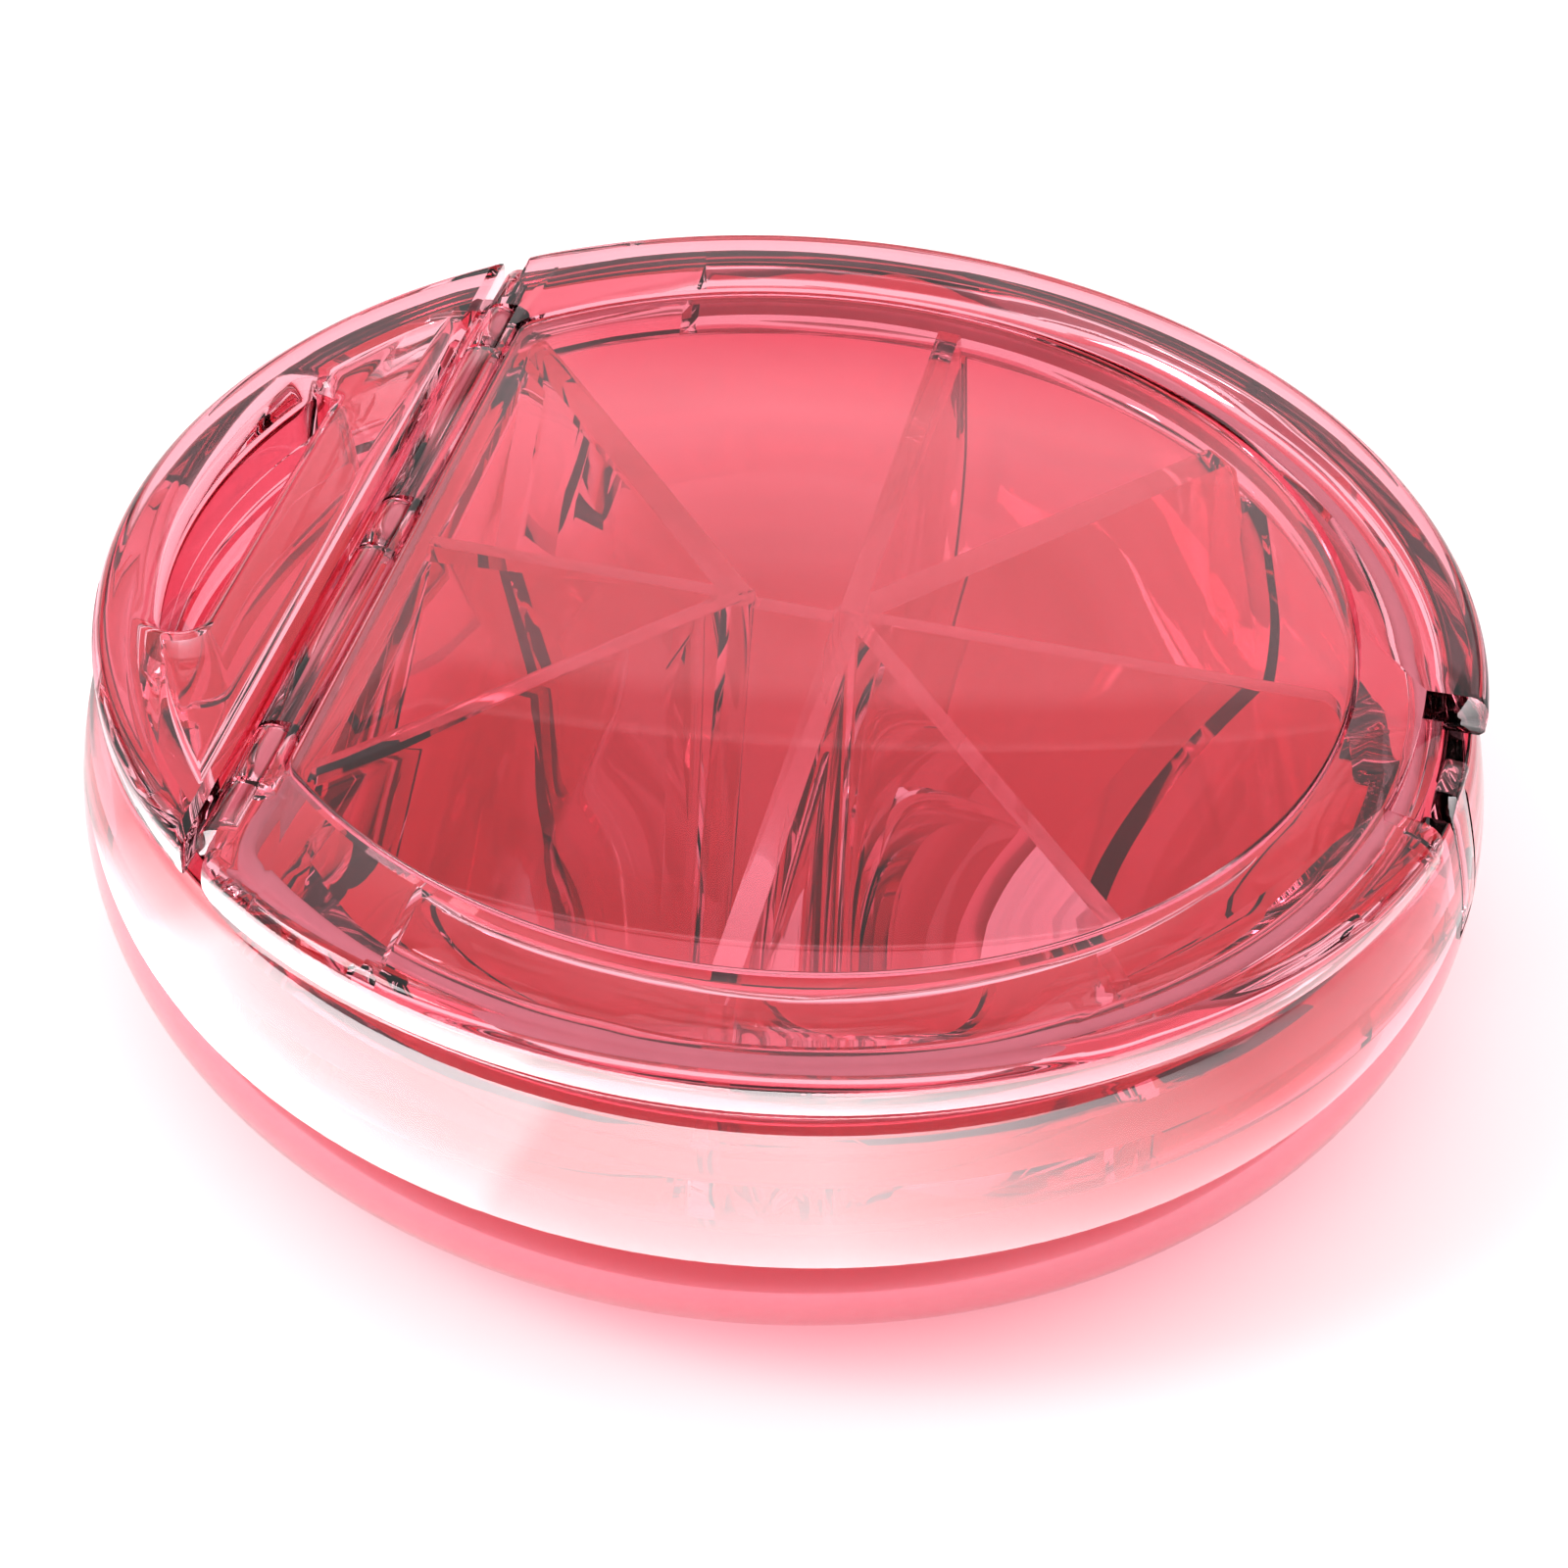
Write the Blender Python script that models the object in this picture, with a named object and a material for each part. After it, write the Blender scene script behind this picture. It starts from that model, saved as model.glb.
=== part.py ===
"""Round travel pill organizer: hinged clear lid, eight-compartment tray, fixed rear deck with a strap slot."""

import math

import bmesh
import bpy
from mathutils import Matrix, Vector

MM = 0.001

# Overall sizes, in millimetres
CASE_HEIGHT = 26.5
BODY_RADIUS = 45.0
LID_RADIUS = 43.6
LID_INSET = 0.6
BOTTOM_ROUND = 13.8
RIM_ROUND = 1.3
GAP = 0.3

# Base shell
BASE_WALL = 1.8
BASE_FLOOR = 1.8
LEDGE_RADIUS = 38.6
LEDGE_THICK = 1.2

# Compartment tray
TRAY_RADIUS = 37.4
TRAY_WALL = 1.2
TRAY_CHORD = -24.6
TRAY_TO_LID = 0.4
TRAY_ROUND_SHARE = 0.7
FLANGE_DROP = 7.0
FLANGE_THICK = 1.2
FLANGE_CHORD = -28.0
DIVIDER_THICK = 1.2
DIVIDER_ROUND = 1.5
HUB_HALF_LENGTH = 3.6
COMPARTMENT_STEP_DEG = 45

# Hinge line, across the case at its left side
HINGE_X = -26.8
BARREL_RADIUS = 1.4
BARREL_DROP = 0.05
BARREL_HALF_LENGTH = 31.5
PIN_RADIUS = 0.7
PIN_CLEARANCE = 0.08
PIN_HALF_LENGTH = 30.0
KNUCKLE_LENGTH = 5.0
KNUCKLE_CENTRES = (-24.0, 0.0, 24.0)
HINGE_GAP = 0.35
DECK_CHAMFER = 0.5

# Lid
WINDOW_RADIUS = 35.2
WINDOW_THICK = 1.4
WINDOW_CHORD = -25.0
WINDOW_CORNER = 2.2
LIP_WIDTH = 0.8
LIP_HEIGHT = 0.7
PLUG_RADIUS = 40.9
PLUG_DEPTH = 2.8
PLUG_CHORD = -15.0

# Seal
SEAL_RADIUS = 39.3
SEAL_WIDTH = 1.2
SEAL_HEIGHT = 2.2
SEAL_CHORD = -26.2
SEAL_CLEARANCE = 0.2
SEAL_CORNER = 2.6

# Thumb notch and its latch tab
NOTCH_CENTRE_DEG = -7.5
NOTCH_HALF_DEG = 8.8
NOTCH_RADIUS = 39.6
NOTCH_DEPTH = 2.2
LATCH_WIDTH = 3.4
LATCH_THICK = 1.5
LATCH_DROP = 11.6
LATCH_HEAD = 1.9

# Rear deck and strap slot
DECK_PLATE = 1.6
DECK_WALL = 1.6
SLOT_INNER_X = -34.9
SLOT_RADIUS = 39.6
SLOT_CORNER = 1.3
SLOT_WALL = 1.0
SLOT_FLARE = 1.6
LINER_DEPTH = 7.0

# Faceting
TURN_STEPS = 80
ROUND_STEPS = 7
CORNER_STEPS = 4
PIN_STEPS = 24

# Heights and radii that follow from the sizes above
SEAM_Z = CASE_HEIGHT - 2 * BARREL_RADIUS
BASE_TOP_Z = SEAM_Z - GAP
BASE_TOP_RADIUS = LID_RADIUS - LID_INSET
PLUG_Z = SEAM_Z - PLUG_DEPTH
HINGE_Z = CASE_HEIGHT - BARREL_DROP - BARREL_RADIUS
DECK_EDGE_X = HINGE_X - BARREL_RADIUS - HINGE_GAP
WINDOW_Z = CASE_HEIGHT - WINDOW_THICK
POCKET_RADIUS = WINDOW_RADIUS + GAP
POCKET_CHORD = WINDOW_CHORD - GAP
LIP_TOP_Z = WINDOW_Z - GAP
FLANGE_Z = CASE_HEIGHT - FLANGE_DROP
FLANGE_RADIUS = BASE_TOP_RADIUS - BASE_WALL - GAP
LEDGE_Z = FLANGE_Z - FLANGE_THICK - GAP
TRAY_BOTTOM_Z = BASE_FLOOR + GAP
TRAY_ROUND = TRAY_ROUND_SHARE * (TRAY_RADIUS + TRAY_CHORD)
CHORD_WALL_Z = SEAM_Z - GAP
DIVIDER_TOP_Z = WINDOW_Z - TRAY_TO_LID
DIVIDER_RIM_Z = FLANGE_Z
DIVIDER_RADIUS = POCKET_RADIUS - LIP_WIDTH - TRAY_TO_LID
LID_SWEEP = math.hypot(POCKET_CHORD + LIP_WIDTH - HINGE_X, HINGE_Z - SEAM_Z)
DIVIDER_CHORD = HINGE_X + LID_SWEEP + TRAY_TO_LID
LINER_Z = CASE_HEIGHT - LINER_DEPTH
LATCH_Z = CASE_HEIGHT - LATCH_DROP
SEAL_BOTTOM_Z = FLANGE_Z + GAP
SEAL_TOP_Z = SEAL_BOTTOM_Z + SEAL_HEIGHT
SLOT_RUN = BOTTOM_ROUND - SLOT_INNER_X - BODY_RADIUS
SLOT_FOOT_Z = BOTTOM_ROUND - math.sqrt(BOTTOM_ROUND**2 - SLOT_RUN**2)

# How far a cutter runs past what it cuts, and a reach outside the whole case
PAST = 1.0
FAR = 60.0


def material(name, colour, roughness, metallic=0.0, transmission=0.0):
    """A Principled material, clear where transmission is above zero."""
    made = bpy.data.materials.new(name)
    made.use_nodes = True
    shader = made.node_tree.nodes["Principled BSDF"]
    shader.inputs["Base Color"].default_value = (*colour, 1.0)
    shader.inputs["Roughness"].default_value = roughness
    shader.inputs["Metallic"].default_value = metallic
    shader.inputs["Transmission Weight"].default_value = transmission
    made.diffuse_color = (*colour, 1.0)
    return made


def add_object(name, mesh_data, helper=False):
    """Turns a bmesh whose points are in millimetres into an object in metres."""
    bmesh.ops.scale(mesh_data, vec=(MM, MM, MM), verts=mesh_data.verts)
    bmesh.ops.recalc_face_normals(mesh_data, faces=mesh_data.faces)
    mesh = bpy.data.meshes.new(name)
    mesh_data.to_mesh(mesh)
    mesh_data.free()
    made = bpy.data.objects.new(name, mesh)
    bpy.context.scene.collection.objects.link(made)
    if helper:
        made.hide_render = True
        made.display_type = "WIRE"
    return made


def finish(piece, look):
    """Gives a piece its material and smooth shading over its round faces."""
    piece.data.materials.append(look)
    piece.data.shade_smooth()
    piece.data.set_sharp_from_angle(angle=math.radians(35))
    return piece


def boolean(piece, other, operation):
    modifier = piece.modifiers.new(other.name, "BOOLEAN")
    modifier.operation = operation
    modifier.solver = "EXACT"
    modifier.object = other


def cut(piece, *cutters):
    for cutter in cutters:
        boolean(piece, cutter, "DIFFERENCE")


def join(piece, *others):
    for other in others:
        boolean(piece, other, "UNION")


def arc_points(centre, radius, start_deg, end_deg, steps):
    """Points along an arc, both ends included."""
    points = []
    for i in range(steps + 1):
        angle = math.radians(start_deg + (end_deg - start_deg) * i / steps)
        points.append((centre[0] + radius * math.cos(angle), centre[1] + radius * math.sin(angle)))
    return points


def lathe(profile):
    """Turns a profile of (radius, height) points about the Z axis."""
    turned = bmesh.new()
    verts = [turned.verts.new((radius, 0.0, height)) for radius, height in profile]
    edges = [turned.edges.new(pair) for pair in zip(verts, verts[1:])]
    bmesh.ops.spin(
        turned,
        geom=verts + edges,
        cent=(0, 0, 0),
        axis=(0, 0, 1),
        angle=math.tau,
        steps=TURN_STEPS,
        use_merge=True,
    )
    bmesh.ops.remove_doubles(turned, verts=turned.verts, dist=0.001)
    return turned


def stack(rings):
    """A closed solid through level rings that have the same number of points."""
    solid = bmesh.new()
    levels = [[solid.verts.new((x, y, z)) for x, y in outline] for outline, z in rings]
    for low, high in zip(levels, levels[1:]):
        for i in range(len(low)):
            j = (i + 1) % len(low)
            solid.faces.new((low[i], low[j], high[j], high[i]))
    solid.faces.new(list(reversed(levels[0])))
    solid.faces.new(levels[-1])
    return solid


def sliced(profile, chord, toward_lid):
    """A round solid through (radius, height) points, cut off along the upright plane x = chord."""
    rings = []
    for radius, height in profile:
        reach = math.degrees(math.acos(chord / radius))
        if toward_lid:
            outline = arc_points((0, 0), radius, -reach, reach, TURN_STEPS)
        else:
            outline = arc_points((0, 0), radius, reach, 360 - reach, TURN_STEPS // 3)
        rings.append((outline, height))
    return stack(rings)


def collar(outer, inner, bottom, top):
    """A closed ring between two outlines that have the same number of points."""
    solid = bmesh.new()
    corners = []
    for outline, height in ((outer, bottom), (outer, top), (inner, top), (inner, bottom)):
        corners.append([solid.verts.new((x, y, height)) for x, y in outline])
    for a, b in zip(corners, corners[1:] + corners[:1]):
        for i in range(len(a)):
            j = (i + 1) % len(a)
            solid.faces.new((a[i], a[j], b[j], b[i]))
    return solid


def block(low, high):
    """A box between two corners."""
    outline = [(low[0], low[1]), (high[0], low[1]), (high[0], high[1]), (low[0], high[1])]
    return stack([(outline, low[2]), (outline, high[2])])


def rod(radius, x, z, start_y, end_y, steps=PIN_STEPS):
    """A round bar along Y, with a flat of its many sides facing up."""
    half_step = 180 / steps
    circle = arc_points((0, 0), radius, half_step, 360 + half_step, steps)[:-1]
    solid = stack([(circle, start_y), (circle, end_y)])
    turn = Matrix.Rotation(math.radians(-90), 4, "X")
    bmesh.ops.transform(solid, matrix=turn, verts=solid.verts)
    bmesh.ops.translate(solid, vec=(x, 0, z), verts=solid.verts)
    return solid


def cut_disc(radius, chord, corner):
    """Outline of a disc whose left side is cut off at x = chord, with round corners."""
    inner = radius - corner
    corner_x = chord + corner
    corner_y = math.sqrt(inner**2 - corner_x**2)
    reach = math.degrees(math.atan2(corner_y, corner_x))
    points = arc_points((corner_x, -corner_y), corner, 180, 360 - reach, CORNER_STEPS)
    points += arc_points((0, 0), radius, -reach, reach, TURN_STEPS)[1:-1]
    points += arc_points((corner_x, corner_y), corner, reach, 180, CORNER_STEPS)
    return points


def slot_outline(grow):
    """Outline of the strap slot: straight inner side, outer side along the rim, round ends."""
    corner_x = SLOT_INNER_X - SLOT_CORNER
    inner = SLOT_RADIUS - SLOT_CORNER
    corner_y = math.sqrt(inner**2 - corner_x**2)
    corner = SLOT_CORNER + grow
    reach = math.degrees(math.asin(corner_y / inner))
    points = arc_points((corner_x, -corner_y), corner, reach - 180, 0, 2 * CORNER_STEPS)
    points += arc_points((corner_x, corner_y), corner, 0, 180 - reach, 2 * CORNER_STEPS)
    points += arc_points((0, 0), inner + corner, 180 - reach, 180 + reach, 2 * ROUND_STEPS)[1:-1]
    return points


def slot_cutter(bottom, top, flare_at_top):
    """The strap slot's space, which opens out in a round flare at one end."""
    rings = []
    for i in range(CORNER_STEPS + 1):
        angle = math.radians(90 * i / CORNER_STEPS)
        rise = SLOT_FLARE * (1 - math.sin(angle))
        rings.append((slot_outline(SLOT_FLARE * (1 - math.cos(angle))), rise))
    if flare_at_top:
        end = top
        rings = [(outline, end - rise) for outline, rise in rings]
        rings = [(slot_outline(0), bottom)] + rings + [(slot_outline(SLOT_FLARE), end + PAST)]
    else:
        end = bottom
        rings = [(outline, end + rise) for outline, rise in reversed(rings)]
        rings = [(slot_outline(SLOT_FLARE), end - PAST)] + rings + [(slot_outline(0), top)]
    return add_object("slot_space", stack(rings), helper=True)


def wall_radius(height):
    """Outside radius of the base wall, which swells from the seam down to the bottom rounding."""
    share = (BASE_TOP_Z - height) / (BASE_TOP_Z - BOTTOM_ROUND)
    return BASE_TOP_RADIUS + (BODY_RADIUS - BASE_TOP_RADIUS) * math.sin(share * math.pi / 2)


def shell_profile(inset, floor_z, top_z):
    """Outside of the base, moved in by inset: floor, bottom rounding and swelling wall."""
    centre = (BODY_RADIUS - BOTTOM_ROUND, BOTTOM_ROUND)
    points = [(0.0, floor_z)]
    points += arc_points(centre, BOTTOM_ROUND - inset, -90, 0, ROUND_STEPS + 2)
    for i in range(1, 5):
        height = BOTTOM_ROUND + (BASE_TOP_Z - BOTTOM_ROUND) * i / 4
        points.append((wall_radius(height) - inset, height))
    if top_z > BASE_TOP_Z:
        points.append((points[-1][0], top_z))
    return points


def make_base(look):
    outer = shell_profile(0.0, 0.0, BASE_TOP_Z)
    inner = shell_profile(BASE_WALL, BASE_FLOOR, BASE_TOP_Z)
    ledge = [
        (wall_radius(LEDGE_Z - 2 * LEDGE_THICK) - BASE_WALL, LEDGE_Z - 2 * LEDGE_THICK),
        (LEDGE_RADIUS, LEDGE_Z - LEDGE_THICK),
        (LEDGE_RADIUS, LEDGE_Z),
        (wall_radius(LEDGE_Z) - BASE_WALL, LEDGE_Z),
    ]
    below = [point for point in inner if point[1] < LEDGE_Z - 2 * LEDGE_THICK - GAP]
    above = [point for point in inner if point[1] > LEDGE_Z + GAP]
    inner = below + ledge + above
    base = add_object("base_shell", lathe(outer + inner[::-1]))
    tube_top = LINER_Z - GAP
    tube = add_object("slot_tube", stack([(slot_outline(SLOT_WALL), PAST), (slot_outline(SLOT_WALL), tube_top)]), True)
    outside = add_object("outside_of_base", lathe(outer + [(0.0, BASE_TOP_Z)]), True)
    boolean(tube, outside, "INTERSECT")
    join(base, tube)
    cut(base, slot_cutter(SLOT_FOOT_Z, tube_top + PAST, False))
    cut(base, add_object("latch_opening", latch_opening(), True))
    return finish(base, look)


def at_notch(solid):
    """Turns a solid made on +X round to the thumb notch."""
    turn = Matrix.Rotation(math.radians(NOTCH_CENTRE_DEG), 4, "Z")
    bmesh.ops.transform(solid, matrix=turn, verts=solid.verts)
    return solid


def latch_opening():
    half = LATCH_WIDTH / 2 + GAP
    return at_notch(block((FLANGE_RADIUS + GAP / 2, -half, LATCH_Z - GAP), (FAR, half, CASE_HEIGHT)))


def make_latch(look):
    """Springy tab that fills the opening below the notch and hooks the lid's edge."""
    foot = wall_radius(LATCH_Z)
    middle_z = (LATCH_Z + BASE_TOP_Z) / 2
    middle = wall_radius(middle_z)
    head = BASE_TOP_RADIUS
    head_z = BASE_TOP_Z + LATCH_HEAD
    profile = [
        (foot - LATCH_THICK, LATCH_Z),
        (foot, LATCH_Z),
        (middle, middle_z),
        (head, BASE_TOP_Z),
        (head, head_z - LATCH_THICK / 3),
        (head - LATCH_THICK / 3, head_z),
        (head - LATCH_THICK, head_z),
        (head - LATCH_THICK, BASE_TOP_Z),
        (middle - LATCH_THICK, middle_z),
    ]
    solid = bmesh.new()
    half = LATCH_WIDTH / 2
    near = [solid.verts.new((r, -half, z)) for r, z in profile]
    far = [solid.verts.new((r, half, z)) for r, z in profile]
    for i in range(len(profile)):
        j = (i + 1) % len(profile)
        solid.faces.new((near[i], near[j], far[j], far[i]))
    solid.faces.new(near[::-1])
    solid.faces.new(far)
    pivot = Vector((foot - LATCH_THICK / 2, 0, LATCH_Z + LATCH_THICK / 2))
    bmesh.ops.translate(solid, vec=-pivot, verts=solid.verts)
    latch = add_object("latch_tab", solid)
    latch.location = Matrix.Rotation(math.radians(NOTCH_CENTRE_DEG), 3, "Z") @ (pivot * MM)
    latch.rotation_euler = (0, 0, math.radians(NOTCH_CENTRE_DEG))
    return finish(latch, look)


def tray_profile(inset):
    """Outside of the tray moved in by inset: floor, bottom rounding and upright wall."""
    centre = (TRAY_RADIUS - TRAY_ROUND, TRAY_BOTTOM_Z + TRAY_ROUND)
    return arc_points(centre, TRAY_ROUND - inset, -90, 0, ROUND_STEPS)


def tray_body(inset, top_z):
    profile = tray_profile(inset)
    profile.append((profile[-1][0], top_z))
    return sliced(profile, TRAY_CHORD + inset, True)


def disc(radius, bottom, top):
    """Profile of a plain disc."""
    return [(radius, bottom), (radius, top)]


def divider(start, angle_deg):
    """One upright wall from the hub outwards: full height under the window, lower under the seal."""
    direction = Vector((math.cos(math.radians(angle_deg)), math.sin(math.radians(angle_deg))))
    end = Vector((DIVIDER_RADIUS * direction.x, DIVIDER_RADIUS * direction.y))
    if abs(angle_deg) == 90:
        end.x = start.x
    heading = (end - start).normalized()
    reach = (end - start).length
    if end.x < DIVIDER_CHORD:
        reach *= (DIVIDER_CHORD - start.x) / (end.x - start.x)
    outline = [(0.0, 1.0), (FAR, 1.0), (FAR, DIVIDER_RIM_Z), (reach, DIVIDER_RIM_Z)]
    outline += arc_points(
        (reach - DIVIDER_ROUND, DIVIDER_TOP_Z - DIVIDER_ROUND), DIVIDER_ROUND, 0, 90, CORNER_STEPS
    )
    outline += [(0.0, DIVIDER_TOP_Z)]
    side = Vector((-heading.y, heading.x)) * DIVIDER_THICK / 2
    solid = bmesh.new()
    faces = []
    for sign in (-1, 1):
        ring = []
        for along, height in outline:
            point = start + heading * along + side * sign
            ring.append(solid.verts.new((point.x, point.y, height)))
        faces.append(ring)
    for i in range(len(outline)):
        j = (i + 1) % len(outline)
        solid.faces.new((faces[0][i], faces[0][j], faces[1][j], faces[1][i]))
    solid.faces.new(faces[0][::-1])
    solid.faces.new(faces[1])
    return solid


def hub_post(x):
    """Round post where the dividers of one side meet."""
    circle = arc_points((x, 0), DIVIDER_THICK * 0.75, 0, 360, PIN_STEPS // 2)[:-1]
    return stack([(circle, 1.0), (circle, DIVIDER_TOP_Z)])


def make_tray(look):
    tray = add_object("divider_tray", tray_body(0.0, FLANGE_Z - FLANGE_THICK / 2))
    flange = sliced(disc(FLANGE_RADIUS, FLANGE_Z - FLANGE_THICK, FLANGE_Z), FLANGE_CHORD, True)
    join(tray, add_object("tray_flange", flange, True))
    high_wall = block(
        (TRAY_CHORD, -FAR, FLANGE_Z - FLANGE_THICK / 2), (TRAY_CHORD + TRAY_WALL * 1.5, FAR, CHORD_WALL_Z)
    )
    chord_wall = add_object("chord_wall", high_wall, True)
    limit = sliced(disc(DIVIDER_RADIUS, FLANGE_Z - FLANGE_THICK, CASE_HEIGHT), FLANGE_CHORD, True)
    boolean(chord_wall, add_object("chord_limit", limit, True), "INTERSECT")
    join(tray, chord_wall)
    space = tray_body(TRAY_WALL, CASE_HEIGHT + PAST)
    cut(tray, add_object("tray_space", space, True))
    half = TRAY_WALL / 2
    within = tray_body(half, CASE_HEIGHT)
    within_tray = add_object("within_tray", within, True)
    left = Vector((-HUB_HALF_LENGTH, 0))
    right = Vector((HUB_HALF_LENGTH, 0))
    low = (-HUB_HALF_LENGTH, -DIVIDER_THICK / 2, 1.0)
    high = (HUB_HALF_LENGTH, DIVIDER_THICK / 2, DIVIDER_TOP_Z)
    walls = add_object("dividers", block(low, high), True)
    for x in (left.x, right.x):
        join(walls, add_object("hub_post", hub_post(x), True))
    for step in range(-3, 5):
        angle = step * COMPARTMENT_STEP_DEG
        start = left if abs(angle) > 90 else right
        join(walls, add_object("divider", divider(start, angle), True))
    boolean(walls, within_tray, "INTERSECT")
    join(tray, walls)
    return finish(tray, look)


def plate_profile():
    """Section that the lid and the rear deck share: rim underside, rounded rim and flat top."""
    centre = (LID_RADIUS - RIM_ROUND, CASE_HEIGHT - RIM_ROUND)
    return [(LID_RADIUS, SEAM_Z)] + arc_points(centre, RIM_ROUND, 0, 90, CORNER_STEPS)


def knuckle_space(centre):
    """Room that the lid leaves round one knuckle of the deck."""
    half = KNUCKLE_LENGTH / 2 + HINGE_GAP
    radius = BARREL_RADIUS + HINGE_GAP
    return add_object("knuckle_room", rod(radius, HINGE_X, HINGE_Z, centre - half, centre + half), True)


def make_lid_frame(look):
    frame = add_object("lid_frame", sliced(plate_profile(), HINGE_X, True))
    plug = sliced(disc(PLUG_RADIUS, PLUG_Z, SEAM_Z + GAP), PLUG_CHORD, True)
    join(frame, add_object("lid_plug", plug, True))
    barrel = rod(BARREL_RADIUS, HINGE_X, HINGE_Z, -BARREL_HALF_LENGTH, BARREL_HALF_LENGTH)
    join(frame, add_object("lid_barrel", barrel, True))
    pocket = cut_disc(POCKET_RADIUS, POCKET_CHORD, WINDOW_CORNER)
    inside = cut_disc(POCKET_RADIUS - LIP_WIDTH, POCKET_CHORD + LIP_WIDTH, WINDOW_CORNER)
    upper = stack([(pocket, LIP_TOP_Z), (pocket, CASE_HEIGHT + PAST)])
    lower = stack([(inside, PLUG_Z - PAST), (inside, LIP_TOP_Z + PAST)])
    cut(frame, add_object("window_pocket", upper, True), add_object("under_window", lower, True))
    half = SEAL_WIDTH / 2 + SEAL_CLEARANCE
    groove = collar(seal_outline(half), seal_outline(-half), PLUG_Z - PAST, SEAL_TOP_Z + SEAL_CLEARANCE)
    cut(frame, add_object("seal_groove", groove, True))
    cut(frame, *[knuckle_space(centre) for centre in KNUCKLE_CENTRES])
    bore = rod(PIN_RADIUS + PIN_CLEARANCE, HINGE_X, HINGE_Z, -PIN_HALF_LENGTH - GAP, PIN_HALF_LENGTH + GAP)
    cut(frame, add_object("lid_bore", bore, True))
    cut(frame, *thumb_notch())
    return finish(frame, look)


def thumb_notch():
    """Space of the thumb notch: a shallow step in the lid's top and a full cut through its rim."""
    helpers = []
    for name, radius, bottom in (
        ("notch_step", NOTCH_RADIUS, CASE_HEIGHT - NOTCH_DEPTH),
        ("notch_rim", PLUG_RADIUS + GAP / 3, PLUG_Z - PAST),
    ):
        inner = arc_points((0, 0), radius, -NOTCH_HALF_DEG, NOTCH_HALF_DEG, ROUND_STEPS)
        outer = arc_points((0, 0), FAR, NOTCH_HALF_DEG, -NOTCH_HALF_DEG, ROUND_STEPS)
        outline = [(x, y) for x, y in outer + inner]
        space = stack([(outline[::-1], bottom), (outline[::-1], CASE_HEIGHT + PAST)])
        helpers.append(add_object(name, at_notch(space), True))
    return helpers


def seal_outline(grow):
    return cut_disc(SEAL_RADIUS + grow, SEAL_CHORD - grow, SEAL_CORNER + grow)


def make_seal(look):
    half = SEAL_WIDTH / 2
    seal = add_object("seal_ring", collar(seal_outline(half), seal_outline(-half), SEAL_BOTTOM_Z, SEAL_TOP_Z))
    return finish(seal, look)


def make_window(look):
    outline = cut_disc(WINDOW_RADIUS, WINDOW_CHORD, WINDOW_CORNER)
    window = add_object("lid_window", stack([(outline, WINDOW_Z), (outline, CASE_HEIGHT)]))
    return finish(window, look)


def make_deck(look):
    """Fixed top behind the hinge, with its strap slot and the hinge's three knuckles."""
    deck = add_object("rear_deck", sliced(plate_profile(), DECK_EDGE_X, False))
    plug = sliced(disc(PLUG_RADIUS, PLUG_Z, SEAM_Z + GAP), DECK_EDGE_X - GAP, False)
    join(deck, add_object("deck_plug", plug, True))
    hollow_radius = PLUG_RADIUS - DECK_WALL
    hollow = sliced(disc(hollow_radius, PLUG_Z - PAST, CASE_HEIGHT - DECK_PLATE), DECK_EDGE_X - DECK_WALL, False)
    cut(deck, add_object("deck_hollow", hollow, True))
    outline = slot_outline(SLOT_WALL)
    liner_top = CASE_HEIGHT - DECK_PLATE / 2
    join(deck, add_object("slot_liner", stack([(outline, LINER_Z), (outline, liner_top)]), True))
    cut(deck, slot_cutter(LINER_Z - PAST, CASE_HEIGHT, True))
    edge = bmesh.new()
    corner = [
        (DECK_EDGE_X + 1.0, CASE_HEIGHT - DECK_CHAMFER - 1.0),
        (DECK_EDGE_X + 1.0, CASE_HEIGHT + PAST),
        (DECK_EDGE_X - DECK_CHAMFER - 1.0, CASE_HEIGHT + PAST),
    ]
    near = [edge.verts.new((x, -FAR, z)) for x, z in corner]
    far = [edge.verts.new((x, FAR, z)) for x, z in corner]
    for i in range(3):
        edge.faces.new((near[i], near[(i + 1) % 3], far[(i + 1) % 3], far[i]))
    edge.faces.new(near[::-1])
    edge.faces.new(far)
    cut(deck, add_object("deck_chamfer", edge, True))
    half = KNUCKLE_LENGTH / 2
    for centre in KNUCKLE_CENTRES:
        ring = rod(BARREL_RADIUS, HINGE_X, HINGE_Z, centre - half, centre + half)
        arm = block((DECK_EDGE_X - DECK_WALL / 2, centre - half, SEAM_Z), (HINGE_X, centre + half, HINGE_Z))
        join(deck, add_object("knuckle", ring, True), add_object("knuckle_arm", arm, True))
    bore = rod(PIN_RADIUS + PIN_CLEARANCE, HINGE_X, HINGE_Z, -PIN_HALF_LENGTH - GAP, PIN_HALF_LENGTH + GAP)
    cut(deck, add_object("deck_bore", bore, True))
    return finish(deck, look)


def make_pin(look):
    pin = add_object("hinge_pin", rod(PIN_RADIUS, 0.0, 0.0, -PIN_HALF_LENGTH, PIN_HALF_LENGTH))
    pin.location = (HINGE_X * MM, 0, HINGE_Z * MM)
    return finish(pin, look)


def main():
    for old in list(bpy.data.objects):
        bpy.data.objects.remove(old)
    tint = material("clear_pink_plastic", (0.86, 0.22, 0.27), 0.06, transmission=0.85)
    pane = material("clear_pink_window", (0.90, 0.34, 0.38), 0.04, transmission=0.92)
    silicone = material("clear_silicone", (0.88, 0.82, 0.84), 0.35, transmission=0.5)
    steel = material("steel_pin", (0.72, 0.73, 0.75), 0.25, metallic=1.0)
    make_base(tint)
    make_tray(tint)
    make_deck(tint)
    make_pin(steel)
    make_lid_frame(tint)
    make_window(pane)
    make_seal(silicone)
    make_latch(tint)


main()
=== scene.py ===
import math

import bmesh
import bpy
from mathutils import Matrix, Vector


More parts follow.
